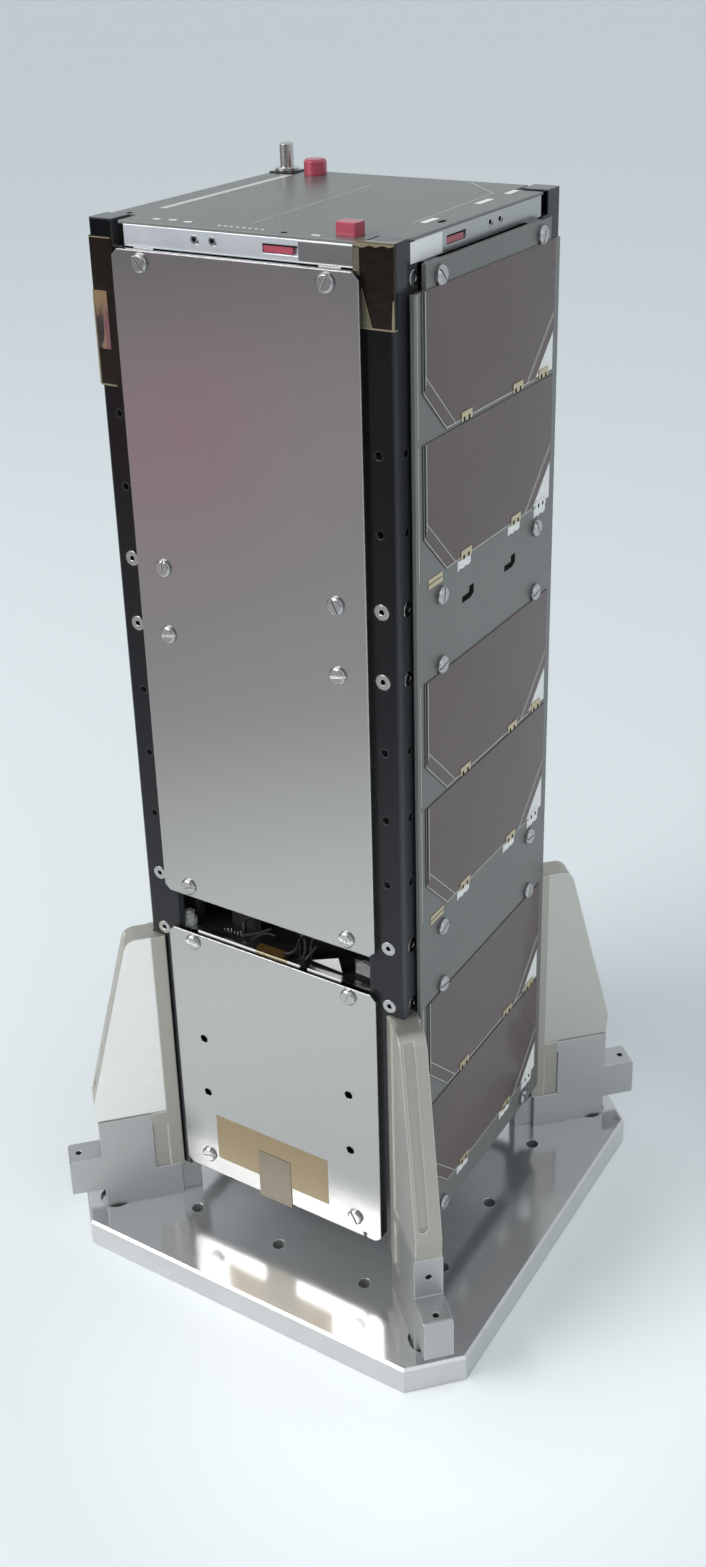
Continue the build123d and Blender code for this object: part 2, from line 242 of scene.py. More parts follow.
bright = guideMetal.blend(mottle, (0.76, 0.76, 0.73), (0.92, 0.92, 0.90))
shadedWeb = guideMetal.blend(mottle, (0.46, 0.46, 0.43), (0.58, 0.58, 0.55))
# Painted shade: the milled webs darker towards the right
shadeToRight = guideMetal.span(across, -0.05, 0.05) * photoLight["guideSides"]
body = guideMetal.blend(milled, body, guideMetal.blend(shadeToRight, bright, shadedWeb))
guideMetal.set("Base Color", guideMetal.blend(guideMetal.edges(guideSet["edge"]), body, (0.80, 0.78, 0.74)))
guideMetal.set("Roughness", (0.46 + 0.1 * cloud - 0.1 * milled).held())
rim = guideMetal.soft(guideSet["edge"])
guideMetal.set("Normal", guideMetal.bump(cloud + streak * 0.3, 0.00006, 0.35, rim))

coverMetal = Finish("coverMetal", (0.62, 0.62, 0.62), 0.28, 1.0)
grain = coverMetal.noise(120, 5.0, 0.65, (9, 1, 1))
cloud = coverMetal.noise(14, 3.0, 0.5)
across, _, up = coverMetal.axes()
# Painted shade and painted pink reflection: the upper cover darker and pinker towards the top
high = coverMetal.span(up - across * 0.6, 0.16, 0.26) * photoLight["coverHigh"]
body = coverMetal.blend(high, (0.46, 0.46, 0.455), (0.36, 0.345, 0.35))
body = coverMetal.blend(((cloud - 0.5) * 0.2 + (grain - 0.5) * 0.2 + 0.1).held(), body, (0.38, 0.37, 0.375))
body = coverMetal.blend(coverMetal.edges(0.0006) * 0.5, body, (0.75, 0.75, 0.75))
# Painted shade: the covers' upward faces darker
upward = coverMetal.facing(2) > 0.7
# Painted reflection: the lower cover's corner by the left foot darker
corner = coverMetal.span(across, -0.031, -0.040) * coverMetal.span(up, 0.056, 0.042)
body = coverMetal.blend(corner * photoLight["coverCorner"], body, (0.17, 0.175, 0.18))
coverMetal.set("Base Color", coverMetal.blend(upward * photoLight["coverTop"], body, (0.12, 0.12, 0.12)))
coverMetal.set("Roughness", (0.13 + 0.04 * high + 0.06 * grain + 0.03 * cloud).held())
coverMetal.set("Normal", coverMetal.bump(grain, 0.000003, 0.4, coverMetal.soft(0.0006)))

railBlack = Finish("railBlack", (0.008, 0.008, 0.009), 0.2, 0.0, Specular_IOR_Level=0.2)
grain = railBlack.noise(200, 4.0, 0.6, (1, 1, 0.06))
fleck = railBlack.noise(900, 2.0, 0.5)
sideways = railBlack.facing(0).maths("ABSOLUTE", 0)
_, _, up = railBlack.axes()
# Painted light: the rails paler towards the foot
low = railBlack.span(up, 0.30, 0.12)
body = railBlack.blend(grain, (0.001, 0.001, 0.002), (0.004, 0.004, 0.005))
body = railBlack.blend(low * photoLight["railLow"], body, (0.020, 0.021, 0.024))
# Painted sheen: the rails' side faces lighter, most of all low down
sideSheen = railBlack.blend(low, (0.040, 0.041, 0.045), (0.082, 0.087, 0.092))
body = railBlack.blend(sideways * photoLight["railSides"], body, sideSheen)
railBlack.set("Base Color", railBlack.blend(railBlack.edges(0.0007, 3.0), body, (0.08, 0.08, 0.085)))
railBlack.set("Roughness", (0.09 + 0.06 * grain + 0.04 * fleck).held())
railBlack.set("Normal", railBlack.bump(fleck, 0.00001, 0.4, railBlack.soft(0.0007)))

# Circuit boards, solar cells, plastics and tapes
boardGrey = Finish("boardGrey", (0.135, 0.15, 0.15), 0.34, 0.0)
weave = boardGrey.noise(700, 2.0, 0.5)
cloud = boardGrey.noise(22, 3.0, 0.5)
body = boardGrey.blend(cloud, (0.108, 0.111, 0.109), (0.160, 0.163, 0.158))
# Painted shade: upward faces darker
level = boardGrey.facing(2) > 0.7
body = boardGrey.blend(level * photoLight["boardLevel"], body, (0.075, 0.072, 0.066))
boardGrey.set("Base Color", boardGrey.blend(boardGrey.edges(0.0004, 4.0), body, (0.34, 0.36, 0.34)))
boardGrey.set("Roughness", (0.24 + 0.16 * weave).held())
boardGrey.set("Normal", boardGrey.bump(weave, 0.00001, 0.3, boardGrey.soft(0.0004)))

cellGlass = Finish("cellGlass", (0.05, 0.04, 0.05), 0.16, 0.0, Coat_Roughness=0.05, Specular_IOR_Level=0.4)
finger = cellGlass.node(
    "ShaderNodeTexWave",
    {"bands_direction": "DIAGONAL"},
    {"Vector": cellGlass.place((1, 1, 0)), "Scale": 500, "Distortion": 0.0},
)
cloud = cellGlass.noise(16, 3.0, 0.5)
body = cellGlass.blend(cloud, (0.050, 0.025, 0.027), (0.078, 0.043, 0.043))
body = cellGlass.blend((finger > 0.93) * 0.2, body, (0.15, 0.13, 0.13))
cellGlass.set("Base Color", cellGlass.blend(cellGlass.edges(0.0003, 4.0) * 0.6, body, (0.02, 0.02, 0.02)))
cellGlass.set("Coat Weight", (0.15 + 0.3 * cloud).held())
cellGlass.set("Roughness", (0.2 + 0.15 * cloud).held())

redMetal = Finish("redMetal", (0.40, 0.03, 0.07), 0.32, 0.25, Coat_Roughness=0.2, Coat_Weight=0.4)
cloud = redMetal.noise(400, 3.0, 0.6)
body = redMetal.blend(cloud, (0.33, 0.045, 0.075), (0.46, 0.065, 0.11))
redMetal.set("Base Color", redMetal.blend(redMetal.edges(0.0005) * 0.6, body, (0.62, 0.10, 0.16)))
redMetal.set("Roughness", (0.24 + 0.2 * cloud).held())
redMetal.set("Normal", redMetal.soft(0.0005))

blackSleeve = Finish("blackSleeve", (0.01, 0.01, 0.012), 0.4)
cloud = blackSleeve.noise(800, 3.0, 0.6)
blackSleeve.set("Base Color", blackSleeve.blend(cloud, (0.006, 0.006, 0.008), (0.03, 0.03, 0.034)))
blackSleeve.set("Roughness", (0.28 + 0.25 * cloud).held())

wireBlack = Finish("wireBlack", (0.02, 0.02, 0.022), 0.25)
cloud = wireBlack.noise(600, 3.0, 0.6)
wireBlack.set("Base Color", wireBlack.blend(cloud, (0.008, 0.008, 0.009), (0.02, 0.02, 0.022)))
wireBlack.set("Roughness", (0.25 + 0.25 * cloud).held())

lumpGrey = Finish("lumpGrey", (0.25, 0.25, 0.25), 0.6)
cloud = lumpGrey.noise(500, 5.0, 0.65)
lumpGrey.set("Base Color", lumpGrey.blend(cloud, (0.10, 0.10, 0.10), (0.42, 0.42, 0.42)))
lumpGrey.set("Normal", lumpGrey.bump(cloud, 0.0008, 0.8))

goldTab = Finish("goldTab", (0.60, 0.46, 0.22), 0.35, 1.0)
cloud = goldTab.noise(900, 3.0, 0.6)
goldTab.set("Base Color", goldTab.blend(cloud, (0.46, 0.38, 0.24), (0.68, 0.61, 0.45)))
goldTab.set("Roughness", (0.25 + 0.25 * cloud).held())

whiteCell = Finish("whiteCell", (0.80, 0.80, 0.78), 0.5)
cloud = whiteCell.noise(1200, 3.0, 0.6)
whiteCell.set("Base Color", whiteCell.blend(cloud, (0.66, 0.66, 0.64), (0.90, 0.90, 0.88)))
whiteCell.set("Roughness", (0.35 + 0.3 * cloud).held())

paleTrace = Finish("paleTrace", (0.42, 0.42, 0.36), 0.4)
cloud = paleTrace.noise(500, 3.0, 0.6)
paleTrace.set("Base Color", paleTrace.blend(cloud, (0.44, 0.45, 0.40), (0.60, 0.59, 0.52)))
paleTrace.set("Roughness", (0.3 + 0.2 * cloud).held())

# Ring, bar and deck; the ring's sides carry painted shade, darker than its front, and the deck is near black
# as painted shade
even, upright = (1, 1, 1), (1, 1, 4)
ringMetal = worked(
    "ringMetal", (0.64, 0.69, 0.735), (0.9, 0.9, 0.9), 0.30, (60, even), 0.85, 0.0004, 0.0000002
)
# Painted shade: the ring's side faces darker
sideways = ringMetal.facing(0).maths("ABSOLUTE", 0) > 0.7
worn = Wire(ringMetal.tree, ringMetal.shader.inputs["Base Color"].links[0].from_socket)
ringMetal.set("Base Color", ringMetal.blend(sideways * photoLight["ringSides"], worn, (0.34, 0.33, 0.32)))
barMetal = worked(
    "barMetal", (0.17, 0.18, 0.20), (0.62, 0.64, 0.66), 0.20, (200, even), 1.0, 0.0005, 0.000001
)
ringGrey = worked(
    "ringGrey", (0.25, 0.255, 0.26), (0.5, 0.5, 0.5), 0.30, (300, upright), edge=0.0002, depth=0.000003
)
ringPale = worked(
    "ringPale", (0.82, 0.82, 0.80), (0.9, 0.9, 0.9), 0.50, (300, upright), 0.3, 0.0002, 0.000003
)
# Painted shade: the deck and posts inside the slot painted near black
deckShade = worked(
    "deckShade", (0.016, 0.016, 0.018), (0.05, 0.05, 0.055), 0.35, (300, even), metallic=0.0, edge=0.0003
)

darkGap = Finish("darkGap", (0.01, 0.01, 0.01), 0.9, Specular_IOR_Level=0.05)
cloud = darkGap.noise(900, 2.0, 0.5)
darkGap.set("Base Color", darkGap.blend(cloud, (0.003, 0.003, 0.003), (0.010, 0.010, 0.010)))


def tapeFinish(name, low, high, shine, metallic, wrinkle, coat=0.15):
    specular = min(0.5, coat * 3 + 0.05)
    tape = Finish(name, low, shine, metallic, Coat_Roughness=0.08, Specular_IOR_Level=specular)
    crease = tape.noise(90, 4.0, 0.6)
    fine = tape.noise(500, 3.0, 0.6)
    tape.set("Base Color", tape.blend(crease * 0.7 + fine * 0.3, low, high))
    tape.set("Coat Weight", (coat + coat * 2 * crease).held())
    tape.set("Roughness", (shine - 0.08 + 0.16 * crease).held())
    tape.set("Normal", tape.bump(crease * 0.8 + fine * 0.2, 0.00025, wrinkle))
    return tape


tapeOnSilver = tapeFinish("tapeOnSilver", (0.25, 0.185, 0.098), (0.30, 0.23, 0.13), 0.42, 0.45, 0.06)
tapeDoubled = tapeFinish("tapeDoubled", (0.17, 0.14, 0.10), (0.22, 0.18, 0.13), 0.42, 0.4, 0.06)
tapeOnBlack = tapeFinish("tapeOnBlack", (0.006, 0.004, 0.003), (0.015, 0.010, 0.007), 0.12, 0.0, 0.1, 0.03)
tapeGold = tapeFinish("tapeGold", (0.07, 0.035, 0.012), (0.22, 0.12, 0.04), 0.25, 0.3, 0.5)
tapeClear = tapeFinish("tapeClear", (0.055, 0.05, 0.034), (0.13, 0.12, 0.085), 0.22, 0.0, 0.3)
tapeEdge = tapeFinish("tapeEdge", (0.09, 0.078, 0.045), (0.24, 0.20, 0.12), 0.35, 0.0, 0.3)
# Painted sheen: a golden lit patch on the dark tape, streaked dark in its lower half, with a painted pink
# reflection down one side
tapeSheen = Finish("tapeSheen", (0.15, 0.10, 0.06), 0.25, 0.2, Coat_Weight=0.5)
streak = tapeSheen.noise(900, 3.0, 0.55, (1, 1, 0.14))
across, _, up = tapeSheen.axes()
lower = tapeSheen.span(up, 0.342, 0.335)
body = tapeSheen.blend((streak > 0.47) * lower, (0.20, 0.125, 0.065), (0.012, 0.008, 0.008))
pinkReflection = tapeSheen.span(across, -0.0475, -0.0462) * lower
tapeSheen.set("Base Color", tapeSheen.blend(pinkReflection, body, (0.16, 0.06, 0.07)))
tapeSheen.set("Roughness", (0.2 + 0.2 * streak).held())

coats = {
    "base_plate": plateMetal,
    "foot_block": blockMetal,
    "corner_guide": guideMetal,
    "rail": railBlack,
    "frame": frameMetal,
    "frame_middle": barMetal,
    "frame_top": barMetal,
    "front_cover": coverMetal,
    "solar_board": boardGrey,
    "solar_cells": cellGlass,
    "top_ring": ringMetal,
    "ring_inserts": redMetal,
    "top_plate": boardGrey,
    "cap": redMetal,
    "separation_plunger": pinSteel,
    "inner_deck": deckShade,
    "upper_deck": deckShade,
    "stack_posts": deckShade,
    "deck_connectors": blackSleeve,
    "harness": blackSleeve,
    "core_block": frameMetal,
    "bottom_plate": frameMetal,
}
for name, node in nodes.items():
    for start in sorted(coats, key=len):
        if name.startswith(start):
            node.data.materials.clear()
            node.data.materials.append(coats[start].material)
print("finishes made")


# Mesh helpers: sizes in mm in the row frame, with heights above the rail feet
def piece(name, build, finish):
    mesh = bpy.data.meshes.new(name)
    edit = bmesh.new()
    build(edit)
    bmesh.ops.scale(edit, vec=(mm, mm, mm), verts=edit.verts)
    edit.to_mesh(mesh)
    edit.free()
    mesh.materials.append(finish.material)
    made = bpy.data.objects.new(name, mesh)
    bpy.context.scene.collection.objects.link(made)
    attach(made, hull)


def prism(edit, outline, low, high, place=Matrix.Identity(4)):
    bottom = [edit.verts.new(place @ Vector((x, y, low))) for x, y in outline]
    top = [edit.verts.new(place @ Vector((x, y, high))) for x, y in outline]
    edit.faces.new(top)
    edit.faces.new(bottom[::-1])
    for i in range(len(outline)):
        j = (i + 1) % len(outline)
        edit.faces.new((bottom[i], bottom[j], top[j], top[i]))


def faceOn(side, depth):
    toFace = Matrix(((1, 0, 0, 0), (0, 0, -1, -depth), (0, 1, 0, deckZ), (0, 0, 0, 1)))
    return Matrix.Rotation(math.radians(side), 4, "Z") @ toFace


def bar(x0, x1, y0, y1):
    return [(x0, y0), (x1, y0), (x1, y1), (x0, y1)]


def oval(x, y, wide, deep, count):
    turns = [math.tau * k / count for k in range(count)]
    return [(x + wide * math.cos(a), y + deep * math.sin(a)) for a in turns]


panels = {"right": 90, "back": 180, "left": -90}

# Screws and discs, set out by Geometry Nodes on points that carry their own facing
screwSet = {"radius": 2.8, "height": 1.1, "slotWidth": 0.7, "slotDepth": 0.6, "seed": 7}
discSet = {"radius": 2.35, "height": 0.35, "hole": 0.95, "seed": 3}
dotSet = {"radius": 1.25, "height": 0.2, "hole": 0.6, "seed": 5}


def tree(name, sizes):
    made = bpy.data.node_groups.new(name, "GeometryNodeTree")
    face = made.interface
    face.new_socket("Points", in_out="INPUT", socket_type="NodeSocketGeometry")
    keys = {}
    for label, value in sizes.items():
        kind = "NodeSocketInt" if isinstance(value, int) else "NodeSocketFloat"
        socket = face.new_socket(label, in_out="INPUT", socket_type=kind)
        socket.default_value = value
        keys[label] = socket.identifier
    face.new_socket("Pieces", in_out="OUTPUT", socket_type="NodeSocketGeometry")
    return made, keys


def grow(made, kind, settings=None, values=None, out=0):
    node = made.nodes.new(kind)
    for key, value in (settings or {}).items():
        setattr(node, key, value)
    for key, value in (values or {}).items():
        socket = node.inputs[key]
        if isinstance(value, bpy.types.NodeSocket):
            made.links.new(value, socket)
        else:
            socket.default_value = value
    return node.outputs[out]


def setOut(made, given, head, seedKey, spin):
    facing = grow(made, "GeometryNodeInputNamedAttribute", {"data_type": "FLOAT_VECTOR"}, {0: "facing"})
    base = grow(made, "FunctionNodeEulerToRotation", None, {0: facing})
    turned = grow(
        made,
        "FunctionNodeRandomValue",
        {"data_type": "FLOAT"},
        {2: 0.0, 3: spin, 8: given[seedKey]},
        1,
    )
    twist = grow(made, "ShaderNodeCombineXYZ", None, {2: turned})
    twist = grow(made, "FunctionNodeEulerToRotation", None, {0: twist})
    both = grow(made, "FunctionNodeRotateRotation", {"rotation_space": "LOCAL"}, {0: base, 1: twist})
    placed = grow(
        made, "GeometryNodeInstanceOnPoints", None, {0: given["Points"], 2: head, 5: both}
    )
    real = grow(made, "GeometryNodeRealizeInstances", None, {0: placed})
    return real


def scatter(name, made, keys, sizes, points, finish):
    mesh = bpy.data.meshes.new(name + "Points")
    mesh.from_pydata([[c * mm for c in at] for at, _ in points], [], [])
    facing = mesh.attributes.new("facing", "FLOAT_VECTOR", "POINT")
    for i, (_, angles) in enumerate(points):
        facing.data[i].vector = angles
    holder = bpy.data.objects.new(name + "Points", mesh)
    bpy.context.scene.collection.objects.link(holder)
    modifier = holder.modifiers.new("grow", "NODES")
    modifier.node_group = made
    for label, value in sizes.items():
        modifier[keys[label]] = value
    seen = holder.evaluated_get(bpy.context.evaluated_depsgraph_get())
    result = bpy.data.meshes.new_from_object(seen)
    bpy.data.objects.remove(holder)
    result.name = name
    if not result.materials:
        result.materials.append(finish.material)
    made = bpy.data.objects.new(name, result)
    bpy.context.scene.collection.objects.link(made)
    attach(made, hull)


def screwTree(finish):
    sizes = {"Radius": 1.0, "Height": 1.0, "Slot width": 1.0, "Slot depth": 1.0, "Seed": 1}
    made, keys = tree("slottedScrew", sizes)
    source = made.nodes.new("NodeGroupInput")
    given = {socket.name: socket for socket in source.outputs if socket.name}
    low = grow(made, "ShaderNodeMath", {"operation": "MULTIPLY"}, {0: given["Height"], 1: 0.6})
    barrel = grow(
        made,
        "GeometryNodeMeshCylinder",
        None,
        {"Vertices": 28, "Radius": given["Radius"], "Depth": low},
    )
    lift = grow(made, "ShaderNodeMath", {"operation": "MULTIPLY"}, {0: low, 1: 0.5})
    lift = grow(made, "ShaderNodeCombineXYZ", None, {2: lift})
    barrel = grow(made, "GeometryNodeTransform", None, {0: barrel, "Translation": lift})
    small = grow(made, "ShaderNodeMath", {"operation": "MULTIPLY"}, {0: given["Radius"], 1: 0.78})
    rest = grow(made, "ShaderNodeMath", {"operation": "MULTIPLY"}, {0: given["Height"], 1: 0.4})
    crown = grow(
        made,
        "GeometryNodeMeshCone",
        None,
        {"Vertices": 28, "Radius Top": small, "Radius Bottom": given["Radius"], "Depth": rest},
    )
    lift = grow(made, "ShaderNodeCombineXYZ", None, {2: low})
    crown = grow(made, "GeometryNodeTransform", None, {0: crown, "Translation": lift})
    head = grow(made, "GeometryNodeJoinGeometry", None, {0: barrel})
    join = made.nodes[-1]
    made.links.new(crown, join.inputs[0])
    head = grow(made, "GeometryNodeMergeByDistance", None, {0: head, 2: 0.000001})
    wide = grow(made, "ShaderNodeMath", {"operation": "MULTIPLY"}, {0: given["Radius"], 1: 3.0})
    twice = grow(made, "ShaderNodeMath", {"operation": "MULTIPLY"}, {0: given["Slot depth"], 1: 2.0})
    size = grow(made, "ShaderNodeCombineXYZ", None, {0: wide, 1: given["Slot width"], 2: twice})
    slot = grow(made, "GeometryNodeMeshCube", None, {0: size})
    lift = grow(made, "ShaderNodeCombineXYZ", None, {2: given["Height"]})
    slot = grow(made, "GeometryNodeTransform", None, {0: slot, "Translation": lift})
    head = grow(made, "GeometryNodeMeshBoolean", {"operation": "DIFFERENCE"}, {0: head, 1: slot})
    real = setOut(made, given, head, "Seed", 3.1416)
    real = grow(made, "GeometryNodeSetMaterial", None, {0: real, 2: finish.material})
    end = made.nodes.new("NodeGroupOutput")
    made.links.new(real, end.inputs[0])
    return made, keys


def discTree(finish):
    made, keys = tree("sunkScrew", {"Radius": 1.0, "Height": 1.0, "Hole": 1.0, "Seed": 1})
    source = made.nodes.new("NodeGroupInput")
    given = {socket.name: socket for socket in source.outputs if socket.name}
    plate = grow(
        made,
        "GeometryNodeMeshCylinder",
        None,
        {"Vertices": 28, "Radius": given["Radius"], "Depth": given["Height"]},
    )
    tall = grow(made, "ShaderNodeMath", {"operation": "MULTIPLY"}, {0: given["Height"], 1: 3.0})
    socket = grow(
        made,
        "GeometryNodeMeshCylinder",
        None,
        {"Vertices": 6, "Radius": given["Hole"], "Depth": tall},
    )
    head = grow(made, "GeometryNodeMeshBoolean", {"operation": "DIFFERENCE"}, {0: plate, 1: socket})
    real = setOut(made, given, head, "Seed", 1.0)
    real = grow(made, "GeometryNodeSetMaterial", None, {0: real, 2: finish.material})
    end = made.nodes.new("NodeGroupOutput")
    made.links.new(real, end.inputs[0])
    return made, keys


def facingOf(side):
    return (math.radians(90), 0.0, math.radians(side))


def onSide(side, across, depth, up):
    return (Matrix.Rotation(math.radians(side), 4, "Z") @ Vector((across, -depth, up + deckZ)))[:]


screwHeights = (329.5, 238.0, 216.0, 124.5, 102.5, 11.0)
coverScrewSet = {"out": 30.7, "depth": 52.1}
panelScrewSet = {"out": 31.0, "depth": 52.9, "height": 1.6}
railScrewSet = {"out": 44.5, "depth": 49.85, "heights": (102.6, 124.4, 216.1, 237.9)}
topScrewSet = {"out": 39.7, "depth": 50.15, "up": 330.0}
ringScrewSet = {"depth": 49.45, "front": (-13.2, -7.1, 336.85), "right": (4.6, 10.6, 337.15)}
group, keys = screwTree(screwSteel)
sizes = {
    "Radius": screwSet["radius"] * mm,
    "Height": screwSet["height"] * mm,
    "Slot width": screwSet["slotWidth"] * mm,
    "Slot depth": screwSet["slotDepth"] * mm,
    "Seed": screwSet["seed"],
}
out, depth = coverScrewSet["out"], coverScrewSet["depth"]
points = [(onSide(0, x, depth, z), facingOf(0)) for x in (-out, out) for z in screwHeights]
scatter("coverScrews", group, keys, sizes, points, screwSteel)
out, depth = panelScrewSet["out"], panelScrewSet["depth"]
points = [
    (onSide(side, x, depth, z), facingOf(side))
    for side in panels.values()
    for x in (-out, out)
    for z in screwHeights
]
sizes["Height"] = panelScrewSet["height"] * mm
scatter("panelScrews", group, keys, sizes, points, screwSteel)

group, keys = discTree(screwSteel)
sizes = {
    "Radius": discSet["radius"] * mm,
    "Height": discSet["height"] * mm,
    "Hole": discSet["hole"] * mm,
    "Seed": discSet["seed"],
}
points = []
for side in (0, 90, 180, -90):
    for x in (-railScrewSet["out"], railScrewSet["out"]):
        for z in railScrewSet["heights"]:
            points.append((onSide(side, x, railScrewSet["depth"], z), facingOf(side)))
    for x in (-topScrewSet["out"], topScrewSet["out"]) if side else ():  # none at the front
        points.append((onSide(side, x, topScrewSet["depth"], topScrewSet["up"]), facingOf(side)))
scatter("railScrews", group, keys, sizes, points, screwSteel)
sizes = {
    "Radius": dotSet["radius"] * mm,
    "Height": dotSet["height"] * mm,
    "Hole": dotSet["hole"] * mm,
    "Seed": dotSet["seed"],
}
points = []
for side, place in ((0, "front"), (90, "right")):
    *places, up = ringScrewSet[place]
    points += [(onSide(side, x, ringScrewSet["depth"], up), facingOf(side)) for x in places]
scatter("ringScrews", group, keys, sizes, points, screwSteel)
print("screws set out")

# Solar cell details: tabs, white corners, edge bars and pads
cellSet = {
    "halfWide": 40.9,
    "tall": 40.4,
    "cut": 13.0,
    "gap": 1.2,
    "firstMiddle": 58.9,
    "pitch": 113.5,
    "board": 52.9,  # depth of the board's face
    "glass": 53.2,  # depth of the cells' face
}
cellLows = []
for row in range(3):
    middle = cellSet["firstMiddle"] + cellSet["pitch"] * row
    cellLows += [middle + cellSet["gap"] / 2, middle - cellSet["gap"] / 2 - cellSet["tall"]]
half, cut = cellSet["halfWide"], cellSet["cut"]
board, glass = cellSet["board"], cellSet["glass"]


def cellCorners(edit):
    for turn in panels.values():
        place = faceOn(turn, 0)
        for low in cellLows:
            side = half - 0.3
            outline = [(side, low + 0.5), (side, low + cut - 0.9), (half - cut + 1.2, low + 0.5)]
            prism(edit, outline, board, board + 0.15, place)


def cellTabs(edit):
    for turn in panels.values():
        place = faceOn(turn, 0)
        for i, low in enumerate(cellLows):
            for x in (-16.0, 16.5) if i % 2 else (-16.0, 16.5, 34.0):
                prism(edit, bar(x - 3.2, x + 3.2, low - 0.4, low + 2.3), board, board + 0.55, place)
        for z in (242.4, 129.2):
            for z0, z1 in ((z - 0.4, z + 0.9), (z + 1.3, z + 2.6)):
                prism(edit, bar(-38.2, -30.0, z0, z1), board, board + 0.2, place)


def tabHoles(edit):
    for turn in panels.values():
        place = faceOn(turn, 0)
        for i, low in enumerate(cellLows):
            for x in (-16.0, 16.5, 34.0):
                for off in (-1.6, 1.4):
                    outline = bar(x + off - 0.45, x + off + 0.45, low - 0.5, low + 0.8)
                    prism(edit, outline, 53.4, 53.5, place)


def cellPads(edit):
    for turn in panels.values():
        place = faceOn(turn, 0)
        for low in cellLows[1::2]:
            for x in (-16.6, 15.9, 34.0):
                teeth = [(x - 4.0 + 1.6 * k, low - 3.6 + 0.5 * (k % 2)) for k in range(6)]
                outline = teeth + [(x + 4.0, low - 0.6), (x - 4.0, low - 0.6)]
                prism(edit, outline, board, board + 0.1, place)
            prism(edit, bar(30.4, 37.4, low - 0.6, low + 1.6), board, board + 0.55, place)


def cellLines(edit):
    for turn in panels.values():
        place = faceOn(turn, 0)
        for low in cellLows:
            for sign in (-1, 1):
                for inner in (0.25, 5.6) if sign < 0 else (4.6, 5.6):
                    a = (sign * (half - cut - inner), low + 0.4)
                    b = (sign * (half - 0.4), low + cut + inner - 0.2)
                    outline = [a, (a[0] + sign * 0.32, a[1]), b, (b[0], b[1] + 0.32)]
                    prism(edit, outline[::sign], glass, glass + 0.04, place)
            prism(edit, bar(-half + cut, half - cut, low + 0.1, low + 0.4), glass, glass + 0.04, place)
            prism(edit, bar(-39.35, -39.05, low + cut + 2.0, low + 40.1), glass + 0.06, glass + 0.1, place)
            prism(edit, bar(-43.2, -42.95, low + 1.0, low + 40.0), board, board + 0.04, place)


def cellRims(edit):
    for turn in panels.values():
        place = faceOn(turn, 0)
        for low in cellLows:
            prism(edit, bar(-40.9, -39.5, low + cut + 0.2, low + 40.3), glass, glass + 0.04, place)


# Dark line along each cell's side: part the cell's own dark edge, part painted shadow in the gap
def cellGaps(edit):
    for turn in panels.values():
        place = faceOn(turn, 0)
        for low in cellLows:
            prism(edit, bar(-40.4, -39.8, low + cut + 0.7, low + 40.2), glass + 0.04, glass + 0.07, place)


slotEll = [(-3.7, 230.3), (1.6, 230.3), (3.6, 231.2), (3.6, 234.2), (0.7, 234.2), (0.7, 232.3), (-3.7, 232.3)]


def boardSlots(edit):
    for turn in panels.values():
        place = faceOn(turn, 0)
        for x in (-14.0, 13.6):
            prism(edit, [(x + a, b) for a, b in slotEll], board - 0.02, board + 0.03, place)


piece("cellCorners", cellCorners, whiteCell)
piece("cellTabs", cellTabs, goldTab)
piece("cellPads", cellPads, whiteCell)
piece("tabHoles", tabHoles, darkGap)
piece("cellLines", cellLines, paleTrace)
piece("cellRims", cellRims, boardGrey)
piece("cellGaps", cellGaps, darkGap)
piece("boardSlots", boardSlots, darkGap)
print("solar panels dressed")


# Tapes: a rippled sheet, flat at its edges
def sheetOn(edit, place, x0, x1, z0, z1, depth, thick, steps, wave):
    rows = []
    for layer in (0, 1):
        grid = []
        for j in range(steps[1] + 1):
            line = []
            for i in range(steps[0] + 1):
                x = x0 + (x1 - x0) * i / steps[0]
                z = z0 + (z1 - z0) * j / steps[1]
                ripple = wave * math.sin(x * 0.9 + z * 0.4) * math.cos(z * 0.7 - x * 0.2)
                edge = min(i, steps[0] - i, j, steps[1] - j)
                out = depth + layer * (thick + (ripple + wave if edge else 0))
                line.append(edit.verts.new(place @ Vector((x, z, out))))
            grid.append(line)
        rows.append(grid)
    for layer, grid in enumerate(rows):
        for j in range(steps[1]):
            for i in range(steps[0]):
                quad = (grid[j][i], grid[j][i + 1], grid[j + 1][i + 1], grid[j + 1][i])
                edit.faces.new(quad if layer else quad[::-1])
    n, m = steps
    ring = [(0, i) for i in range(n)] + [(j, n) for j in range(m)]
    ring += [(m, i) for i in range(n, 0, -1)] + [(j, 0) for j in range(m, 0, -1)]
    for k in range(len(ring)):
        a, b = ring[k], ring[(k + 1) % len(ring)]
        under, over = rows
        corners = (under[a[0]][a[1]], under[b[0]][b[1]], over[b[0]][b[1]], over[a[0]][a[1]])
        edit.faces.new(corners)


# Sheets: side, across from and to, up from and to, depth, thickness, steps, wave
sheetSet = {
    "coverTape": ((0, -26.5, 20.0, 11.3, 30.5, 52.1, 0.08, (24, 10), 0.01),),
    "coverTapeSmall": ((0, -8.9, 4.5, 3.4, 22.6, 52.26, 0.08, (8, 12), 0.01),),
    "nearTape": (
        (0, 38.3, 50.15, 318.5, 339.8, 50.0, 0.15, (8, 12), 0.04),
        (90, -50.2, -48.4, 318.5, 339.8, 50.0, 0.15, (3, 12), 0.03),
    ),
    "leftTape": (
        (0, -50.1, -41.8, 292.0, 335.5, 50.0, 0.12, (6, 20), 0.04),
        (-90, 44.0, 50.1, 292.0, 335.5, 50.0, 0.12, (4, 20), 0.04),
    ),
    # painted sheen on the left tape
    "leftTapeSheen": ((0, -50.25, -45.2, 303.0, 320.0, 50.2, 0.08, (4, 8), 0.05),),
}
front = faceOn(0, 0)


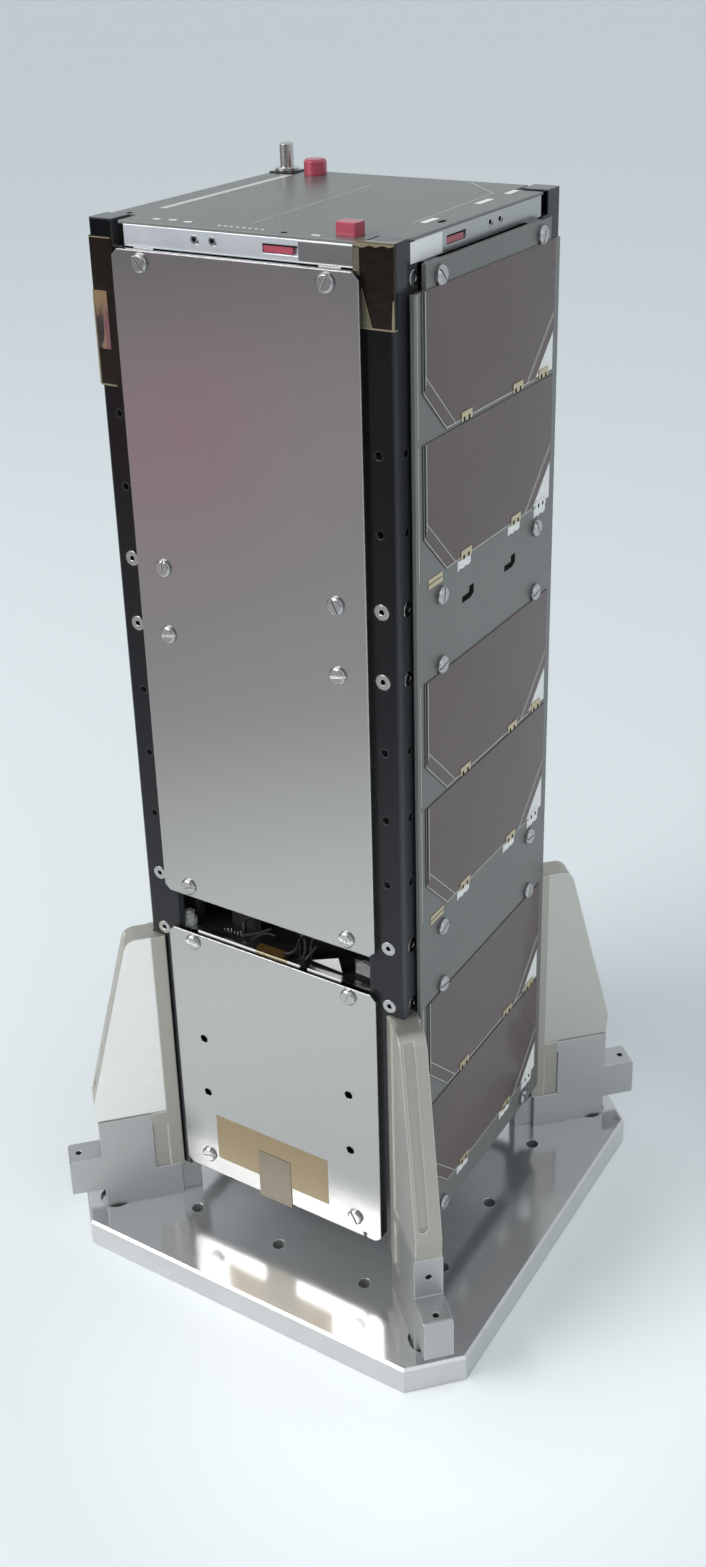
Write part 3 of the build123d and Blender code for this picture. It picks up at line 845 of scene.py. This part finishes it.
def laid(name):
    def build(edit):
        for side, *sheet in sheetSet[name]:
            sheetOn(edit, faceOn(side, 0), *sheet)

    return build


def coverTapeSmall(edit):
    laid("coverTapeSmall")(edit)
    prism(edit, bar(-8.9, 4.5, 2.5, 3.7), 51.6, 52.4, front)  # its end hangs below the cover


def nearTapeClear(edit):
    for outline in (bar(38.2, 40.0, 318.3, 339.0), [(40.0, 329.5), (40.0, 318.4), (43.2, 318.4)]):
        prism(edit, outline, 50.24, 50.3, front)


nearTorn = [  # torn upper edge, then the end that lies on the rail's top
    [(38.2, 339.4), (41.0, 339.0), (43.1, 339.7), (45.0, 339.3)]
    + [(47.2, 339.9), (49.0, 339.5), (50.35, 339.9)],
    [(38.4, -50.3), (50.3, -50.3), (50.3, -45.5), (48.6, -47.8), (46.0, -48.6), (42.5, -48.2), (38.4, -48.9)],
]


def nearTapeEdge(edit):
    prism(edit, nearTorn[0] + [(50.35, 340.35), (38.2, 340.35)], 50.2, 50.36, front)
    prism(edit, [(39.9, 330.6), (43.3, 318.5), (43.6, 318.5), (40.1, 330.8)], 50.3, 50.4, front)
    prism(edit, bar(38.6, 50.2, 318.0, 318.45), 50.0, 50.3, front)
    prism(edit, [(49.5, 318.2), (50.3, 318.2), (50.3, 326.0), (49.9, 326.0)], 50.25, 50.38, front)
    prism(edit, bar(-50.3, -48.6, 318.0, 318.5), 50.0, 50.3, faceOn(90, 0))
    prism(edit, nearTorn[1], deckZ + 340.5, deckZ + 340.62)


def leftTapeEdge(edit):
    prism(edit, bar(-49.6, -44.2, 292.0, 292.5), 50.15, 50.3, front)
    prism(edit, bar(-50.0, -42.4, 335.0, 335.3), 50.15, 50.25, front)
    prism(edit, [(-50.35, 292.3), (-49.7, 292.3), (-50.0, 318.0), (-50.35, 318.0)], 49.6, 50.32, front)


piece("coverTape", laid("coverTape"), tapeOnSilver)
piece("coverTapeSmall", coverTapeSmall, tapeDoubled)
piece("nearTape", laid("nearTape"), tapeOnBlack)
piece("nearTapeClear", nearTapeClear, tapeClear)
piece("nearTapeEdge", nearTapeEdge, tapeEdge)
piece("leftTape", laid("leftTape"), tapeOnBlack)
# Painted sheen: the golden patch on the left tape
piece("leftTapeSheen", laid("leftTapeSheen"), tapeSheen)
piece("leftTapeEdge", leftTapeEdge, tapeEdge)
print("tapes laid")


# Top plate: strips, traces, pads
def ribbon(edit, path, wide, low, high):
    for a, b in zip(path, path[1:]):
        run = Vector(b) - Vector(a)
        side = Vector((-run.y, run.x)).normalized() * wide / 2
        a, b = Vector(a), Vector(b)
        prism(edit, [a - side, b - side, b + side, a + side], low, high)


topFace = deckZ + 340.2
topSet = {
    "traces": (  # from, to, width, height
        ((-39.8, -28.6), (-40.2, 38.7), 2.6, 0.05),
        ((-1.3, -38.9), (-4.9, 32.0), 0.25, 0.04),
        ((21.2, 47.0), (36.8, 31.7), 0.3, 0.04),
        ((36.8, 31.7), (39.2, -20.8), 0.3, 0.05),
    ),
    "longPads": ((41.7, -15.6, 3.6), (41.2, 17.7, 4.2), (41.2, 35.6, 3.2)),  # across, back, half run
    "smallPads": ((-30.2, -43.6), (-24.9, -43.0), (-19.0, -43.8), (24.6, -46.3)),
    "padHeight": 0.12,
    "marks": 8,
    "holes": ((45.1, -15.2, 0.9, 1.9), (14.4, -46.3, 0.9, 0.8), (-44.0, -38.5, 1.0, 0.8)),
}


def topTraces(edit):
    for start, end, wide, high in topSet["traces"]:
        ribbon(edit, [start, end], wide, topFace, topFace + high)


def topPads(edit):
    high = topFace + topSet["padHeight"]
    for x, y, run in topSet["longPads"]:
        prism(edit, bar(x - 1.2, x + 0.9, y - run, y + run), topFace, high)
    for x, y in topSet["smallPads"]:
        prism(edit, bar(x - 1.3, x + 1.3, y - 0.5, y + 0.5), topFace, high)
    for k in range(topSet["marks"]):
        x = -8.3 + 2.1 * k
        prism(edit, bar(x, x + 0.9, -45.0 - 0.08 * k, -44.3 - 0.08 * k), topFace, topFace + 0.08)


def topHoles(edit):
    for hole in topSet["holes"]:
        prism(edit, oval(*hole, 14), topFace, topFace + 0.06)


piece("topTraces", topTraces, paleTrace)
piece("topPads", topPads, whiteCell)
piece("topHoles", topHoles, darkGap)


# Ring below the top plate: a darker end piece, its pale edges, and a white block round the corner
ringSet = {"end": (20.9, 37.7), "low": 333.7, "high": 339.0, "depth": 49.5, "dot": 0.72}


def ringEnd(edit):
    outline = bar(*ringSet["end"], ringSet["low"], ringSet["high"])
    prism(edit, outline, ringSet["depth"], 49.62, front)


def ringEdges(edit):
    for low in (333.4, ringSet["high"]):
        prism(edit, bar(*ringSet["end"], low, low + 0.35), ringSet["depth"], 49.68, front)
    prism(edit, bar(-40.6, -23.4, 333.6, 339.2), ringSet["depth"], 49.68, faceOn(90, 0))


# Painted shadow along the top of each red insert, and painted shade in the ring screws' sockets
def insertShade(edit):
    for side in (0, 90, 180, -90):
        middle = 15.0 if side == 0 else -15.0
        prism(edit, bar(middle - 5.5, middle + 5.5, 337.15, 337.55), 49.3, 49.45, faceOn(side, 0))
    dot = ringSet["dot"]
    for side, place in ((0, "front"), (90, "right")):
        *places, up = ringScrewSet[place]
        for x in places:
            prism(edit, oval(x, up, dot, dot, 14), ringScrewSet["depth"], 49.6, faceOn(side, 0))


piece("ringEnd", ringEnd, ringGrey)
piece("ringEdges", ringEdges, ringPale)
piece("insertShade", insertShade, darkGap)


# Slot between the covers: tape, rods that make a painted highlight, a tie, loose wires, a nut, pins, a label
# and a grey lump
def hose(edit, path, radius, faces=10):
    rings = []
    for i, at in enumerate(path):
        run = (Vector(path[min(i + 1, len(path) - 1)]) - Vector(path[max(i - 1, 0)])).normalized()
        side = run.cross(Vector((0, 0, 1))).normalized()
        other = run.cross(side)
        angles = [math.tau * k / faces for k in range(faces)]
        around = [side * math.cos(a) + other * math.sin(a) for a in angles]
        rings.append([edit.verts.new(Vector(at) + radius * out) for out in around])
    made = [edit.faces.new(rings[0]), edit.faces.new(rings[-1][::-1])]
    for first, second in zip(rings, rings[1:]):
        for k in range(faces):
            j = (k + 1) % faces
            made.append(edit.faces.new((first[k], second[k], second[j], first[j])))
    bmesh.ops.recalc_face_normals(edit, faces=made)


def arc(start, middle, end, steps=12):
    points = []
    for k in range(steps + 1):
        t = k / steps
        a, b, c = Vector(start), Vector(middle), Vector(end)
        points.append(a * (1 - t) ** 2 + b * 2 * t * (1 - t) + c * t * t + Vector((0, 0, deckZ)))
    return points


def barTape(edit):
    prism(edit, bar(-9.0, 2.0, 99.0, 104.2), 43.4, 47.1, front)


# Rods on the lower cover's top edge: a painted highlight, pale rods standing for the line that shines there,
# gold where that line runs under amber tape
edgeHighlightSet = {
    "radius": 0.38,
    "depth": 50.25,
    "up": 106.2,
    "pale": ((-29.5, -6.1), (6.2, 11.2), (14.2, 27.0)),
    "gold": ((-6.1, 6.2),),
    "tapeThick": 0.04,
}


def rodsAlong(edit, spans, radius):
    up, depth = deckZ + edgeHighlightSet["up"], edgeHighlightSet["depth"]
    for start, end in spans:
        hose(edit, [(start, -depth, up), (end, -depth, up)], radius)


def edgeHighlightRods(edit):
    rodsAlong(edit, edgeHighlightSet["pale"], edgeHighlightSet["radius"])


def edgeHighlightUnderTape(edit):
    rodsAlong(edit, edgeHighlightSet["gold"], edgeHighlightSet["radius"] + edgeHighlightSet["tapeThick"])


def cableTie(edit):
    prism(edit, bar(8.0, 9.6, 98.6, 103.6), 43.4, 47.4, front)
    prism(edit, bar(7.4, 10.2, 103.3, 105.4), 43.8, 46.2, front)


# Loose wires: start, middle, end, radius
wireRuns = (
    ((-17.0, -43.6, 104.6), (-12.0, -42.5, 106.0), (-4.5, -43.0, 111.2), 0.45),
    ((-12.5, -43.6, 104.2), (-8.0, -42.5, 109.5), (-3.0, -43.4, 109.0), 0.4),
    ((1.0, -45.0, 104.4), (6.0, -43.5, 104.4), (6.6, -43.0, 111.5), 0.55),
    ((9.0, -45.0, 105.0), (9.6, -43.5, 108.0), (8.4, -43.0, 112.0), 0.55),
    ((10.0, -45.0, 105.2), (11.0, -43.5, 107.0), (13.4, -43.0, 110.5), 0.45),
)


def looseWires(edit):
    for *points, radius in wireRuns:
        hose(edit, arc(*points), radius)


# Collar, nut and stud: faces round, radius, low, high
nutSet = {
    "at": (-38.2, -44.2),
    "parts": ((16, 2.9, 103.2, 105.0), (6, 2.3, 105.0, 107.6), (16, 1.1, 107.6, 108.3)),
}


def barNut(edit):
    for faces, radius, low, high in nutSet["parts"]:
        prism(edit, oval(*nutSet["at"], radius, radius, faces), deckZ + low, deckZ + high)


pinRow = {"first": -23.6, "pitch": 1.35, "count": 6, "wide": 0.35, "low": 104.6, "high": 105.3, "step": 0.5}


def barPins(edit):
    for k in range(pinRow["count"]):
        x = pinRow["first"] + pinRow["pitch"] * k
        high = pinRow["high"] + pinRow["step"] * (k % 3)
        prism(edit, bar(x, x + pinRow["wide"], pinRow["low"], high), 43.4, 43.9, front)


def whiteLabel(edit):
    outline = [(11.2, 104.3), (22.9, 103.6), (21.6, 108.7)]
    prism(edit, outline, 43.2, 43.35, front)


def greyLump(edit):
    low, high = [(28.2, 105.6), (34.8, 105.2), (35.6, 107.4)], [(34.6, 109.6), (31.0, 110.4), (28.6, 109.2)]
    prism(edit, low + high, 41.8, 43.4, front)


piece("barTape", barTape, tapeGold)
# Painted highlight: pale and gold rods on the lower cover's top edge
piece("edgeHighlightRods", edgeHighlightRods, ringPale)
piece("edgeHighlightUnderTape", edgeHighlightUnderTape, goldTab)
piece("cableTie", cableTie, blackSleeve)
piece("looseWires", looseWires, wireBlack)
piece("barNut", barNut, ringPale)
piece("barPins", barPins, barMetal)
piece("whiteLabel", whiteLabel, whiteCell)
piece("greyLump", greyLump, lumpGrey)
print("top and slot dressed")

# Floor, light and world: mirrors see a floor that fades to the front, as in a darker room
stageSet = {
    "reach": 20.0,
    "near": (0.85, 0.895, 0.92),
    "far": (0.80, 0.845, 0.865),
    "around": (0.75, 0.785, 0.80),  # painted shade away from the stand
    "pool": (0.94, 0.965, 0.975),  # painted pool of light about its foot
    "poolMiddle": (0.06, -0.03),
    "poolRim": (0.155, 0.085),
    "fade": (
        (0.0, (0.90, 0.92, 0.93)),
        (0.28, (0.40, 0.40, 0.41)),
        (0.6, (0.33, 0.32, 0.33)),
        (1.0, (0.30, 0.29, 0.30)),
    ),
    "blush": (0.42, 0.12, 0.18),  # what the upper cover mirrors in pink
    "world": 0.85,
    "seen": 0.90,
    "skyline": 0.72,
    "mirrorDim": 0.72,  # share of the light from the camera's side that mirrors lose
}
floorPaper = Finish("floorPaper", stageSet["near"], 0.7)
wide = floorPaper.noise(1.5, 2.0, 0.5)
across, deep, _ = floorPaper.axes()
away = floorPaper.span(across * -0.6 + deep * -0.8, 0.2, 1.2)
aside = (across * 0.79 - deep * 0.61 - 0.005).maths("ABSOLUTE", 0)
ahead = (across * -0.61 - deep * 0.79 - 1.10).maths("ABSOLUTE", 0)
blush = floorPaper.span(aside, 0.085, 0.02) * floorPaper.span(ahead, 0.40, 0.10)
dim = floorPaper.ramp(away, stageSet["fade"])
dim = floorPaper.blend(blush * 0.95, dim, stageSet["blush"])
glossy = floorPaper.node("ShaderNodeLightPath", out=3)
pale = floorPaper.blend(wide, stageSet["far"], stageSet["near"])
# Painted pool of light: the floor paler about the stand's foot and darker away from it
toSide, toBack = across - stageSet["poolMiddle"][0], deep - stageSet["poolMiddle"][1]
distance = (toSide * toSide + toBack * toBack).maths("POWER", 0.5)
pool = floorPaper.span(distance, *stageSet["poolRim"])
pale = floorPaper.blend(pool, floorPaper.blend(0.9, pale, stageSet["around"]), stageSet["pool"])
floorPaper.set("Base Color", floorPaper.blend(glossy, pale, dim))
mesh = bpy.data.meshes.new("floor")
reach = stageSet["reach"]
corners = [(x, y, 0) for x, y in bar(-reach, reach, -reach, reach)]
mesh.from_pydata(corners, [], [(0, 1, 2, 3)])
mesh.materials.append(floorPaper.material)
floor = bpy.data.objects.new("floor", mesh)
floor.location.z = -0.0002
bpy.context.scene.collection.objects.link(floor)

lamps = {  # place, size, watts, tint
    "windowLeft": ((-0.90, -1.20, 0.80), (1.1, 0.8), 12.5, (1.0, 0.99, 0.97)),
    "windowHigh": ((-0.565, -0.845, 1.115), (0.56, 0.19), 4.3, (1.0, 0.98, 0.95)),
    "fillRight": ((1.4, -0.6, 1.1), (1.0, 1.0), 1.6, (0.96, 0.98, 1.0)),
}
for name, (at, size, power, tint) in lamps.items():
    lamp = bpy.data.lights.new(name, "AREA")
    lamp.shape = "RECTANGLE"
    lamp.size, lamp.size_y = size
    lamp.energy = power
    lamp.color = tint
    holder = bpy.data.objects.new(name, lamp)
    holder.location = at
    aim = Vector((0, 0, 0.15)) - holder.location
    holder.rotation_euler = aim.to_track_quat("-Z", "Y").to_euler()
    bpy.context.scene.collection.objects.link(holder)

world = bpy.data.worlds.new("studio")
world.use_nodes = True
backdrop = world.node_tree.nodes["Background"]
backdrop.inputs[0].default_value = (0.80, 0.86, 0.89, 1)
path = world.node_tree.nodes.new("ShaderNodeLightPath")
glossy = Wire(world.node_tree, path.outputs["Is Glossy Ray"])
seen = (glossy + Wire(world.node_tree, path.outputs["Is Transmission Ray"])).held()
direct = Wire(world.node_tree, path.outputs["Is Camera Ray"])
toward = world.node_tree.nodes.new("ShaderNodeVectorMath")
toward.operation = "DOT_PRODUCT"
toward.inputs[1].default_value = (0.5, 0.8, 0.33)
where = world.node_tree.nodes.new("ShaderNodeTexCoord")
world.node_tree.links.new(where.outputs["Generated"], toward.inputs[0])
behind = (Wire(world.node_tree, toward.outputs["Value"]) * 2.0 + 1.1).held()
level = seen * (stageSet["seen"] - stageSet["world"]) + stageSet["world"]
level = level + direct * (stageSet["skyline"] - stageSet["world"])  # what the camera sees past the floor
dimmed = level * (1 - glossy * (1 - behind) * stageSet["mirrorDim"])
plug(world.node_tree, dimmed, backdrop.inputs[1])
bpy.context.scene.world = world
bpy.context.scene.view_settings.view_transform = "Standard"
print("stage ready")
